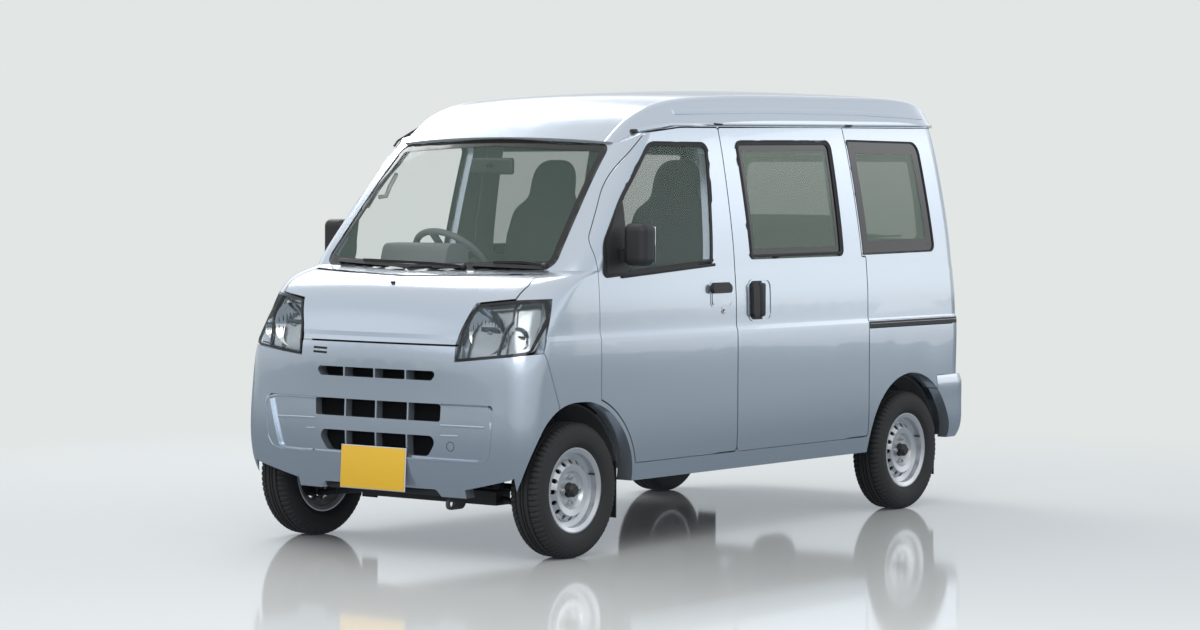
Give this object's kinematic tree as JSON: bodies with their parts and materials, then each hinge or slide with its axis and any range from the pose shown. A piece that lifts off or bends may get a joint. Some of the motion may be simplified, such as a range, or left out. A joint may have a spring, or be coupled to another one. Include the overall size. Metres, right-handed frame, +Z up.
{
  "type": "kei van",
  "caption": "Small high-roof cab-over cargo van with right-hand drive, sliding side doors, hinged front doors, hood and tailgate, and steering that turns its front wheels.",
  "frame": {"origin": "on the floor, under the centre of the bounding box", "axes": "+Z up, the front faces -Y, +X is the vehicle's left side"},
  "size_m": [1.69, 3.3914, 1.8749],
  "materials": {
    "body_paint": "bright silver-blue metallic paint with clear coat",
    "clear_glass": "clear, faintly green",
    "privacy_glass": "dark tinted",
    "black_plastic": "fine-grained black moulding",
    "cabin_plastic": "grained grey interior moulding",
    "lamp_clear": "clear lens over bright reflector",
    "lamp_red": "red lens",
    "seat_fabric": "dark grey woven seat cloth",
    "flap_rubber": "plain black rubber sheet",
    "underbody": "satin dark underseal",
    "chassis_black": "satin black chassis paint",
    "engine_metal": "dull cast",
    "exhaust_steel": "dull, heat stained",
    "tyre_rubber": "matt black",
    "wheel_silver": "silver wheel paint"
  },
  "bodies": {
    "root": {"front_body": "body_paint", "side_frame_left": "body_paint", "side_frame_right": "body_paint", "roof_panel": "body_paint", "front_bumper": "body_paint", "slide_door_left": "body_paint", "slide_door_right": "body_paint", "rear_bumper": "body_paint", "windshield": "clear_glass", "side_glass": "privacy_glass", "grille_insert": "black_plastic", "slide_door_fittings": "black_plastic", "wipers": "black_plastic", "cabin_mirror": "black_plastic", "dashboard": "cabin_plastic", "headlamps": "lamp_clear", "tail_lamps": "lamp_red", "front_seats": "seat_fabric", "rear_bench": "seat_fabric", "mudflaps": "flap_rubber", "floor_pan": "underbody", "wheelhouses": "underbody", "front_subframe": "chassis_black", "rear_axle": "chassis_black", "prop_shaft": "chassis_black", "fuel_tank": "chassis_black", "engine_block": "engine_metal", "exhaust": "exhaust_steel", "spare_wheel": "tyre_rubber"},
    "hood": {"hood_panel": "body_paint"},
    "front_door_left_body": {"front_door_left": "body_paint", "front_door_glass_left": "clear_glass", "door_fittings_left": "black_plastic"},
    "knuckle_left": {"front_hub_left": "chassis_black"},
    "front_door_right_body": {"front_door_right": "body_paint", "front_door_glass_right": "clear_glass", "door_fittings_right": "black_plastic"},
    "knuckle_right": {"front_hub_right": "chassis_black"},
    "tailgate": {"tailgate_panel": "body_paint", "tailgate_glass": "privacy_glass"},
    "steering": {"steering_wheel": "cabin_plastic"},
    "wheel_front_left": {"tyre_front_left": "tyre_rubber", "rim_front_left": "wheel_silver"},
    "wheel_front_right": {"tyre_front_right": "tyre_rubber", "rim_front_right": "wheel_silver"},
    "wheel_rear_left": {"tyre_rear_left": "tyre_rubber", "rim_rear_left": "wheel_silver"},
    "wheel_rear_right": {"tyre_rear_right": "tyre_rubber", "rim_rear_right": "wheel_silver"}
  },
  "joints": [
    {"name": "front_door_left", "type": "hinge", "parent": "root", "child": "front_door_left_body", "pos_m": [0.739, -1.1955, 0.65], "axis": [0.035, 0, -0.9994], "range_deg": [0, 65]},
    {"name": "front_door_right", "type": "hinge", "parent": "root", "child": "front_door_right_body", "pos_m": [-0.739, -1.1955, 0.65], "axis": [0.035, 0, 0.9994], "range_deg": [0, 65]},
    {"name": "hood_lift", "type": "hinge", "parent": "root", "child": "hood", "pos_m": [0, -1.3125, 1.125], "axis": [-1, 0, 0], "range_deg": [0, 50]},
    {"name": "tailgate_lift", "type": "hinge", "parent": "root", "child": "tailgate", "pos_m": [0, 1.5635, 1.716], "axis": [1, 0, 0], "range_deg": [0, 85]},
    {"name": "steer_left", "type": "hinge", "parent": "root", "child": "knuckle_left", "pos_m": [0.637, -1.3175, 0.265], "axis": [0, 0, 1], "range_deg": [-33, 33]},
    {"name": "steer_right", "type": "hinge", "parent": "root", "child": "knuckle_right", "pos_m": [-0.637, -1.3175, 0.265], "axis": [0, 0, 1], "range_deg": [-33, 33]},
    {"name": "steering_wheel_turn", "type": "hinge", "parent": "root", "child": "steering", "pos_m": [-0.33, -0.8175, 1.135], "axis": [0, 0.7071, 0.7071], "range_deg": [-528, 528]},
    {"name": "wheel_spin_front_left", "type": "hinge", "parent": "knuckle_left", "child": "wheel_front_left", "pos_m": [0.652, -1.3175, 0.265], "axis": [1, 0, 0], "continuous": true},
    {"name": "wheel_spin_front_right", "type": "hinge", "parent": "knuckle_right", "child": "wheel_front_right", "pos_m": [-0.652, -1.3175, 0.265], "axis": [1, 0, 0], "continuous": true},
    {"name": "wheel_spin_rear_left", "type": "hinge", "parent": "root", "child": "wheel_rear_left", "pos_m": [0.652, 1.1325, 0.265], "axis": [1, 0, 0], "continuous": true},
    {"name": "wheel_spin_rear_right", "type": "hinge", "parent": "root", "child": "wheel_rear_right", "pos_m": [-0.652, 1.1325, 0.265], "axis": [1, 0, 0], "continuous": true}
  ],
  "couplings": [
    {"joint": "steer_right", "follows": "steer_left", "ratio": 1},
    {"joint": "steering_wheel_turn", "follows": "steer_left", "ratio": 16}
  ]
}
